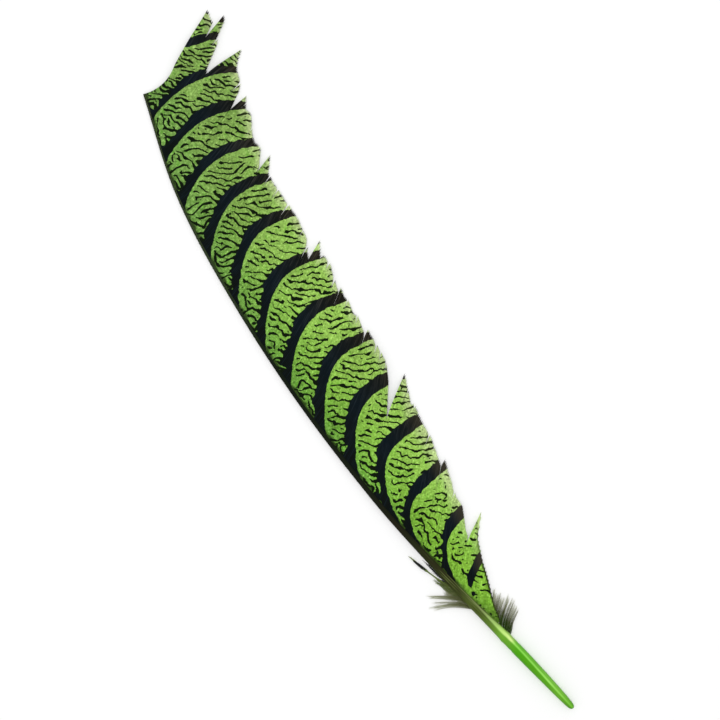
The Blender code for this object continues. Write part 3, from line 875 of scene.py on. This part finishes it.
def shaft_finish():
    """Horn: lime green and glossy at the quill, olive and then black-brown along the vane, with a painted
    highlight stripe, a painted lit side and painted shade at both edges.
    """
    finish = Finish("quill_and_rachis_horn", Specular_IOR_Level=0.03, Coat_Roughness=0.10)
    along, side, line = finish.values("along", "side", "line")
    grain = finish.noise(along * 60.0, side * 5.0, 0.0, 4.0, 0.6)
    blotch = finish.noise(along * 45.0, side * 0.8, 3.0)
    place = along + 0.014 * (blotch - 0.5)
    flank = place.ramp(
        (0.000, (84, 150, 30)), (0.026, (104, 174, 40)), (0.051, (90, 166, 28)), (0.077, (84, 163, 20)),
        (0.108, (76, 166, 12)), (0.120, (102, 168, 42)), (0.135, (110, 170, 46)), (0.154, (98, 134, 42)),
        (0.180, (80, 98, 34)), (0.206, (68, 80, 32)), (0.257, (46, 52, 25)), (0.334, (26, 30, 19)),
        (0.600, (20, 27, 17)), (0.750, (46, 58, 36)), (1.000, (48, 58, 36)),
    )
    # Painted highlight colours, for the lit side and the highlight stripe.
    ridge = place.ramp(
        (0.000, (110, 190, 50)), (0.026, (142, 214, 80)), (0.051, (160, 232, 100)), (0.077, (142, 220, 84)),
        (0.105, (138, 220, 80)), (0.114, (150, 228, 90)), (0.122, (226, 255, 154)), (0.140, (196, 240, 126)),
        (0.154, (166, 202, 110)), (0.180, (142, 156, 98)), (0.206, (90, 102, 58)), (0.240, (64, 70, 42)),
        (0.334, (28, 34, 22)), (0.600, (26, 36, 22)), (0.750, (58, 70, 46)), (1.000, (74, 80, 52)),
    )
    # Painted light: the broad side made lighter.
    lit_side = side.passage(0.0, -0.5) * along.passage(0.26, 0.20)
    colour = (lit_side * 0.35).mix(flank, ridge)
    # Painted highlight stripe along the shaft.
    width = 0.80 + 0.7 * along.passage(0.11, 0.14) - 1.1 * along.passage(0.14, 0.19)
    stripe = 1.0 - line.math("ABSOLUTE", line).passage(width * 0.15, width)
    colour = stripe.mix(colour, ridge)
    streak = finish.noise(along * 22.0, side * 4.0, 7.0, 3.0, 0.6)
    horny = along.passage(0.14, 0.19) * along.passage(0.42, 0.30)
    colour = (streak.passage(0.47, 0.62) * horny * 0.75).mix(colour, HORN_BROWN)
    pale = streak.passage(0.46, 0.32) * horny * along.passage(0.30, 0.24)
    colour = (pale * 0.5).mix(colour, HORN_PALE)
    # Painted shade towards both edges of the shaft.
    shade = side.passage(0.45, 1.0) + side.passage(-0.65, -1.0)
    finish.set(Base_Color=colour.shaded(0.92 + 0.30 * (grain - 0.5) - 0.12 * shade))
    dull = along.passage(0.13, 0.28)
    finish.set(Roughness=0.24 + 0.34 * dull + 0.12 * (grain - 0.5), Coat_Weight=0.14 - 0.14 * dull)
    finish.bump(grain, 0.00005)
    return finish.material


def loose_finish(name, *stops):
    """Loose barbs or down, coloured along each strand from its root to its tip."""
    finish = Finish(name, Specular_IOR_Level=0.10, Sheen_Weight=0.10, Sheen_Roughness=0.5)
    share, tone = finish.values("share", "tone")
    fuzz = finish.noise(share * 40.0, tone * 9.0)
    colour = (share + 0.05 * tone).ramp(*stops)
    finish.set(Base_Color=colour.shaded(0.94 + 0.16 * tone + 0.3 * (fuzz - 0.5)))
    finish.set(Roughness=0.7 + 0.2 * (fuzz - 0.5))
    finish.bump(fuzz, 0.00002)
    return finish.material


# Pieces.


def shaft_ring_shape(x):
    """Half width and half depth of the shaft at x, and how far its quill end is rounded off."""
    half_width = smooth_value(SHAFT_WIDTH, x) / 2
    for place, reach, share in (COLLAR, SCAR):
        half_width = half_width * (1 + share * np.exp(-((x - place) / reach) ** 2))
    half_depth = smooth_value(SHAFT_DEPTH, x) / (1 + math.cos(FLAT_HALF_ANGLE))
    inward = 1 - np.minimum(x / QUILL_END_ROUNDING, 1.0)
    full = QUILL_END_FACE + (1 - QUILL_END_FACE) * np.sqrt(1 - inward ** 2)
    return half_width, half_depth, full


def make_shaft():
    """Quill and rachis: a tapering bowed stem with a flat strip below that it rests on."""
    rounded = QUILL_END_ROUNDING * (1 - np.cos(np.linspace(0, math.pi / 2, QUILL_END_STATIONS)[:-1]))
    x = np.concatenate((rounded, np.linspace(QUILL_END_ROUNDING, SHAFT_LENGTH, SHAFT_STATIONS)))
    half_width, half_depth, full = shaft_ring_shape(x)
    first = -math.pi / 2 + FLAT_HALF_ANGLE
    angle = first + 2 * (math.pi - FLAT_HALF_ANGLE) * np.arange(SHAFT_SIDES) / (SHAFT_SIDES - 1)
    side = np.cos(angle)
    across = turned(shaft_along(x))
    places = shaft_middle(x)[:, None] + across[:, None] * ((half_width * full)[:, None] * side)[..., None]
    height = half_depth * math.cos(FLAT_HALF_ANGLE)
    rise = height[:, None] + (half_depth * full)[:, None] * np.sin(angle)
    rings = np.concatenate((places, rise[..., None]), axis=-1)[None]
    # Distance across from the painted highlight line, in millimetres.
    line = (side[None, :] - smooth_value(PAINTED_HIGHLIGHT_LINE, x)[:, None]) * (half_width / MM)[:, None]
    values = {
        "along": (x / SHAFT_LENGTH)[None, :, None],
        "side": side[None, None, :],
        "line": line[None],
    }
    around = np.stack(np.broadcast_arrays(np.arange(SHAFT_SIDES)[None], x[:, None]), axis=-1)
    groups = [(rings, values)]
    new_piece("shaft", "horn", groups, shaft_finish(), around.reshape(-1, 2))


def vane_height(x, share, lift):
    """Height of the vane on the barb rooted at x, a share of the way along it."""
    root = smooth_value(SHAFT_DEPTH, x) * VANE_ROOT_SHARE
    sloping = root + (VANE_EDGE_HEIGHT - root) * share
    return sloping + smooth_value(VANE_CAMBER, x) * np.sin(math.pi * share) + lift * share ** 3


def lock_lines(number):
    """Roots and lines of the barbs of one lock, numbered from the quill."""
    quill_side, tip_side = PARTING_BARBS[number - 1 : number + 1]
    half_gap = PARTING_GAP / 2
    roots = (quill_side[0] + half_gap, tip_side[0] - half_gap)
    shoulders = np.array((quill_side[1:], tip_side[1:])) + ((half_gap, 0), (-half_gap, 0))
    edge = metres(LOCK_EDGES[number - 1])
    edge[-1] += POINT_REACH * unit(edge[-1] - shoulders[1])
    shares = np.linspace(0, 1, round((roots[1] - roots[0]) / BARB_SPACING) + 1)
    return barb_lines(roots, shoulders, edge, BROAD_SIDE, shares)


def room_beside(lines):
    """Distance from each barb to its neighbours at each point, seen from above."""
    normals = turned(heading_of(lines))
    gaps = np.abs((np.diff(lines, axis=0) * (normals[1:] + normals[:-1]) / 2).sum(axis=-1))
    return (np.concatenate((gaps[:1], gaps)) + np.concatenate((gaps, gaps[-1:]))) / 2


def to_ends(lines):
    """Distance from each point of each line to the line's end."""
    reach = reach_along(lines)
    return reach[:, -1:] - reach


def split_ends(lines, frayed, draw):
    """Opens small splits between barbs near the vane's outer edge."""
    index = np.arange(len(lines))
    to_end = to_ends(lines)
    shift = np.zeros(to_end.shape)
    place = draw.uniform(*SPLIT_FIRST)
    while place < len(lines) - SPLIT_MARGIN:
        depth = draw.uniform(*SPLIT_DEPTH)
        width = draw.uniform(*SPLIT_WIDTH)
        away = index + 0.5 - place
        pull = np.sign(away) * np.exp(-np.abs(away) / SPLIT_SPREAD)
        shift += (pull * width * frayed)[:, None] * ease(to_end, depth, 0.0)
        place += draw.uniform(*SPLIT_STEP)
    return lines + turned(heading_of(lines)) * shift[..., None]


def end_skews(lines):
    """Each barb's heading at its end, and how far its quill side and tip side reach on there."""
    heading = unit(lines[:, -1] - lines[:, -4])
    steps = np.diff(lines[:, -1], axis=0)
    before = np.concatenate(([0.0], -(steps * heading[1:]).sum(axis=-1)))
    after = np.concatenate(((steps * heading[:-1]).sum(axis=-1), [0.0]))
    return heading, *(np.clip(skew / 2, -SKEW_LIMIT, SKEW_LIMIT) for skew in (before, after))


def barb_rings(lines, rise, half_width):
    """Corners round each barb: two web edges, the ridge between them and the keel below."""
    across = turned(heading_of(lines))
    to_end = to_ends(lines)
    heading, before, after = end_skews(lines)
    slim = np.clip(half_width / (BARB_SPACING / 2), LEAST_HEIGHT, 1.0)
    rings = np.empty((*lines.shape[:2], len(BARB_CORNERS), 3))
    for k, (sideways, up, _, _) in enumerate(BARB_CORNERS):
        skew = (before if sideways < 0 else after)[:, None] * abs(sideways)
        open_side = np.arange(len(lines)) == (0 if sideways < 0 else len(lines) - 1)
        narrowed = 1 - SIDE_TAPER * open_side[:, None] * ease(to_end, *SIDE_TAPER_REACH)
        skew = skew * np.maximum(1 - to_end / (SKEW_SPREAD * np.abs(skew) + BARB_STEP), 0)
        rings[:, :, k, :2] = lines + across * (half_width * narrowed * sideways)[..., None]
        rings[:, :, k, :2] += heading[:, None] * skew[..., None]
        rings[:, :, k, 2] = rise + up * slim
    return rings


def make_lock(number, x, lines, markings, finish):
    """One lock of the broad vane, barb by barb."""
    draw = np.random.default_rng(LOCK_STEP + number)
    length = reach_along(lines)[:, -1]
    frayed = ease(x, *FRAYED_FROM)
    scatter = UNFRAYED_SCATTER + (1 - UNFRAYED_SCATTER) * frayed
    keep = 1 - END_SCATTER * scatter * np.abs(draw.standard_normal(len(lines))) / length
    lines = evenly(lines, int(length.max() / BARB_STEP), keep)
    room = room_beside(lines)
    lines = split_ends(lines, frayed, draw)
    reach = reach_along(lines)
    share = reach / reach[:, -1:]
    to_end = to_ends(lines)
    rise = vane_height(x[:, None], share, LOCK_LIFTS[number - 1])
    rise += BARB_RIPPLE * draw.standard_normal((len(lines), 1)) * share
    slim = TIP_TAPER * (BLUNT_SHARE + (1 - BLUNT_SHARE) * frayed)[:, None]
    taper = TIP_WIDTH_SHARE + (1 - TIP_WIDTH_SHARE) * ease(to_end / slim, 0, 1) ** TIP_ROUNDNESS
    half_width = np.minimum(room, 2 * BARB_SPACING) / 2 * LAP * taper
    rings = barb_rings(lines, rise, half_width)
    jitter = BARB_JITTER * draw.standard_normal((len(lines), 1, 1))
    heading = heading_of(lines)
    spots = (lines + heading * jitter)[:, :, None] + (rings[..., :2] - lines[:, :, None]) * SMEAR
    bar, dark, along, out = markings.at(spots, heading[:, :, None], to_end[..., None])
    rim_width = RIM_WIDTH + EARLY_RIM * ease(x, *EARLY_RIM_ROOTS)[:, None]
    tone = draw.standard_normal((len(lines), 1)) * BARB_TONE
    tone = tone + read_grid(markings.noises["clouds"], lines) * CLOUD_TONE
    margin = ease(to_end, *DARK_END) * ease(x, *DARK_END_ROOTS)[:, None]
    corners = np.array(BARB_CORNERS)
    values = {
        "along": (x / SHAFT_LENGTH)[:, None, None],
        # Dark olive ends of the first barbs, and painted shade over the first stretch beside the shaft.
        "dusk": np.maximum(margin[..., None], zone(along, out, *PAINTED_SHADE_ZONE)),
        "out": out / OUT_SCALE,
        "off": (out - smooth_value(SHAFT_WIDTH, along)) / MM,
        "rim": np.clip(to_end / rim_width, 0, 1)[..., None],
        # painted brightness across the barb: lit ridge, shaded webs
        "ridge": corners[None, None, :, 2],
        "tone": tone[..., None],
        "reach": reach[..., None],
        "over": corners[None, None, :, 3],
        "barb": (np.arange(len(lines)) + float(LOCK_STEP) * number)[:, None, None],
        "bar": bar / MM,
        "dark": dark / MM,
    }
    mesh = new_piece(f"vane_lock_{number:02d}", "barbs", [(rings, values)], finish)
    mesh.set_sharp_from_angle(angle=SHARP_EDGE)


def make_vane():
    """The broad vane's eleven locks, with markings that run on from one to the next."""
    markings = Markings()
    finish = vane_finish()
    for number in range(1, len(LOCK_EDGES) + 1):
        make_lock(number, *lock_lines(number), markings, finish)


def wisp_lines(wisps):
    """Roots and middle lines of wisps on the stripped side, seen from above."""
    roots, bends, tips = wisps[:, 0], wisps[:, 1:3], wisps[:, 3:]
    starts = barb_root(roots, NARROW_SIDE, -ROOT_BURIED)
    return roots, parabola(starts, bends, tips, np.linspace(0, 1, INNER_POINTS))


def row_lines(row, side=NARROW_SIDE, stray=0.0):
    """Roots and middle lines of a row of wisps, seen from above."""
    count, *outline = row
    shares = np.clip(np.linspace(0, 1, count) + stray, 0, 1)
    return barb_lines(*map(metres, outline), side, shares)


def parted(wisps, draw, count, spread, shortest, longest):
    """Strands of each wisp: they part on the way out and meet again at its tip."""
    x, lines = (np.repeat(part, count, axis=0) for part in wisps)
    keep = draw.uniform(shortest, longest, len(x))
    lines = evenly(lines, STRAND_POINTS, keep)
    share = np.linspace(0, 1, STRAND_POINTS)
    swing = draw.standard_normal((len(lines), 2)) * spread
    bend = swing[:, :1] * np.sin(math.pi * share) ** PARTING_CURVE + TIP_SWING * swing[:, 1:] * share ** 3
    return x, lines + turned(heading_of(lines)) * bend[..., None], keep


def raised(x, lines, draw, lift):
    """Strands in space: held at their roots, and sinking towards the surface."""
    share = np.linspace(0, 1, lines.shape[1])
    root = smooth_value(SHAFT_DEPTH, x)[:, None] * DOWN_ROOT_SHARE
    stray = draw.standard_normal((len(lines), 1)) * lift
    height = root + (DOWN_END_HEIGHT - root) * share ** SINKING_CURVE + stray * share
    return np.concatenate((lines, np.maximum(height, STRAND_CLEARANCE)[..., None]), axis=-1)


def strand_rings(lines, radius, flatness=1.0):
    """Corners round thin strands, from their points in space and their half width there."""
    along = heading_of(lines)
    level = unit(np.stack((-along[..., 1], along[..., 0], np.zeros(along.shape[:2])), axis=-1))
    upright = np.cross(along, level)
    angle = 2 * math.pi * np.arange(STRAND_SIDES) / STRAND_SIDES
    ring = level[:, :, None] * np.cos(angle)[:, None] + upright[:, :, None] * np.sin(angle)[:, None]
    ring[..., 2] *= flatness
    return lines[:, :, None] + ring * np.broadcast_to(radius, lines.shape[:2])[..., None, None]


def barbules(lines, shares, tone, draw, every, length, splay):
    """Fine side branches on both sides of loose strands: their lines, shares along and tones."""
    spots = np.arange(1, lines.shape[1], every)
    starts, runs = (
        np.repeat(part[:, spots], 2, axis=1).reshape(-1, 3) for part in (lines, heading_of(lines))
    )
    share = np.repeat(shares[:, spots], 2, axis=1).ravel()
    tone = np.repeat(tone, 2 * len(spots))
    size = (len(runs), 1)
    side = np.where(np.arange(len(starts)) % 2 == 0, 1.0, -1.0)[:, None]
    level = np.concatenate((turned(runs[:, :2]), draw.normal(0.0, BARBULE_STRAY, size)), axis=1) * side
    heading = unit(runs + level * splay * draw.uniform(*BARBULE_SPLAYS, size))
    reach = length * draw.uniform(*BARBULE_LENGTHS, size)
    reach = reach * (BARBULES_AT_ROOT - BARBULE_SHRINKING * share[:, None])
    t = np.linspace(0, 1, BARBULE_POINTS)[None, :, None]
    path = heading[:, None] * t + runs[:, None] * t * t * BARBULE_CURVE
    path = starts[:, None] + path * reach[:, None]
    path[..., 2] = np.maximum(path[..., 2], STRAND_CLEARANCE)
    return path, share, tone


def strand_groups(strands, draw, half_width, lift, every, length, splay, widening=1.0, flatness=1.0):
    """Strands and their barbules, ready for a piece."""
    x, lines, keep = strands
    tone = draw.standard_normal(len(lines))
    space = raised(x, lines, draw, lift)
    part = np.linspace(0, 1, space.shape[1])
    share = keep[:, None] * part
    stems = strand_rings(space, half_width * widening * (1 - STRAND_THINNING * part), flatness)
    fine, fine_share, fine_tone = barbules(space, share, tone, draw, every, length, splay)
    t = np.linspace(0, 1, BARBULE_POINTS)
    branches = strand_rings(fine, half_width * BARBULE_SHARE * (1 - BARBULE_THINNING * t))
    stem_values = {"share": share[..., None], "tone": tone[:, None, None]}
    branch_values = {"share": fine_share[:, None, None], "tone": fine_tone[:, None, None]}
    return [(stems, stem_values), (branches, branch_values)]


def tuft(wisps, draw, strands, **shape):
    """Parted strands of wisps, with their barbules."""
    parting, build = strands
    return strand_groups(parted(wisps, draw, *parting), draw, *build, **shape)


def toned(groups, first, last):
    """The same groups, coloured with only a stretch of the finish's shades."""
    for _, values in groups:
        values["share"] = first + (last - first) * values["share"]
    return groups


def make_broad_down():
    """Tuft of down under the vane's first barbs: soft pointed wisps, dark green to pale grey."""
    draw = np.random.default_rng(BROAD_DOWN_SEED)
    finish = loose_finish(
        "grey_down_broad_side",
        (0.05, (44, 74, 8)), (0.28, (60, 84, 16)), (0.45, (92, 98, 52)), (0.70, (142, 146, 104)),
        (1.00, (202, 206, 174)),
    )
    stray = draw.uniform(-WISP_JITTER, WISP_JITTER, BROAD_DOWN[0])
    x, lines = row_lines(BROAD_DOWN, BROAD_SIDE, stray)
    wisps = (x, evenly(lines, INNER_POINTS, draw.uniform(*WISP_LENGTHS, len(lines))))
    groups = tuft(wisps, draw, BROAD_DOWN_STRANDS) + tuft(wisps, draw, BROAD_LOW_STRANDS)
    new_piece("down_broad_side", "barbs", groups, finish)


def make_narrow_down():
    """Two thin wisps of down on the stripped side, with short fuzz between them."""
    draw = np.random.default_rng(NARROW_DOWN_SEED)
    finish = loose_finish(
        "grey_down_narrow_side",
        (0.05, (84, 92, 44)), (0.35, (124, 128, 84)), (0.60, (158, 162, 120)), (1.00, (186, 190, 154)),
    )
    groups = tuft(wisp_lines(NARROW_DOWN), draw, NARROW_DOWN_STRANDS)
    fuzz = tuft(row_lines(NARROW_FUZZ), draw, NARROW_FUZZ_STRANDS)
    groups += toned(fuzz, *NARROW_FUZZ_SHADES)
    new_piece("down_narrow_side", "barbs", groups, finish)


def stumps(draw):
    """Torn ends of the stripped barbs, lying along the shaft's edge."""
    x = np.arange(STUMPS_FROM, SHAFT_LENGTH - STUMPS_MARGIN, STUMP_SPACING)
    x = x + draw.uniform(-0.5, 0.5, len(x)) * STUMP_SPACING
    start = barb_root(x, NARROW_SIDE, -STUMP_BURIED)
    along = shaft_along(x)
    length = draw.uniform(*STUMP_LENGTHS, (len(x), 1))
    tip = start + along * length + turned(along) * length * STUMP_LEAN
    return x, parabola(start, (start + tip) / 2, tip, np.linspace(0, 1, STUMP_POINTS)), np.ones(len(x))


def make_remnant():
    """What is left of the narrow vane: a few hooked barbs, their fuzz, and torn black stumps."""
    draw = np.random.default_rng(REMNANT_SEED)
    finish = loose_finish(
        "torn_narrow_vane",
        (0.00, (70, 80, 32)), (0.20, (92, 108, 44)), (0.40, (116, 134, 64)), (0.64, (104, 126, 52)),
        (0.67, (12, 18, 14)), (0.87, (14, 20, 16)), (0.90, (122, 138, 80)), (1.00, (160, 170, 118)),
    )
    share = np.linspace(0, 1, STRAND_POINTS)
    widening = 1 + BLACK_WIDENING * ease(share, *BLACK_FROM) * ease(share, *BLACK_TO)
    widening += END_WIDENING * ease(share, *END_FROM)
    barbs = wisp_lines(REMNANT_BARBS)
    groups = tuft(barbs, draw, REMNANT_STRANDS, widening=widening, flatness=REMNANT_FLATNESS)
    fuzz = tuft(row_lines(WEDGE), draw, WEDGE_STRANDS)
    fuzz += tuft(row_lines(REMNANT_FUZZ), draw, REMNANT_FUZZ_STRANDS)
    x, lines = row_lines(STUBS)
    keep = draw.uniform(*STUB_LENGTHS, len(x))
    torn = strand_groups((x, evenly(lines, STUB_POINTS, keep), keep), draw, *STUB_BUILD)
    torn += strand_groups(stumps(draw), draw, *STUMP_BUILD)
    groups += toned(fuzz, *REMNANT_FUZZ_SHADES) + toned(torn, *TORN_SHADES)
    new_piece("narrow_vane_remnant", "barbs", groups, finish)


def set_floor():
    """Plain pale floor just under the feather."""
    reach = FLOOR_REACH
    corners = [(-reach, -reach), (reach, -reach), (reach, reach), (-reach, reach)]
    mesh = bpy.data.meshes.new("pale_floor")
    mesh.from_pydata([(*corner, FLOOR_LEVEL) for corner in corners], [], [(0, 1, 2, 3)])
    mesh.materials.append(Finish("floor_white", Roughness=0.9, Base_Color=FLOOR_COLOUR).material)
    floor = placed("pale_floor", mesh)


def set_light():
    """Even pale studio air, and one large soft lamp overhead."""
    world = bpy.data.worlds.new("studio_air")
    world.use_nodes = True
    background = world.node_tree.nodes["Background"]
    background.inputs["Color"].default_value = (1.0, 1.0, 1.0, 1.0)
    background.inputs["Strength"].default_value = AIR_STRENGTH
    bpy.context.scene.world = world
    light = bpy.data.lights.new("softbox", "AREA")
    light.size = LAMP_SIZE
    light.energy = LAMP_POWER
    placed("softbox", light).location = LAMP_PLACE


def set_camera():
    """Looks straight down on the feather, which runs from the lower right to the upper left."""
    lens = bpy.data.cameras.new("camera")
    lens.lens = lens.sensor_width * CAMERA_PLACE[2] / VIEW_WIDTH
    camera = placed("camera", lens)
    camera.location = CAMERA_PLACE
    camera.rotation_euler = (0.0, 0.0, CAMERA_TURN)
    bpy.context.scene.camera = camera


make_shaft()
make_vane()
make_remnant()
make_narrow_down()
make_broad_down()
set_floor()
set_light()
set_camera()
bpy.context.scene.view_settings.view_transform = "Standard"
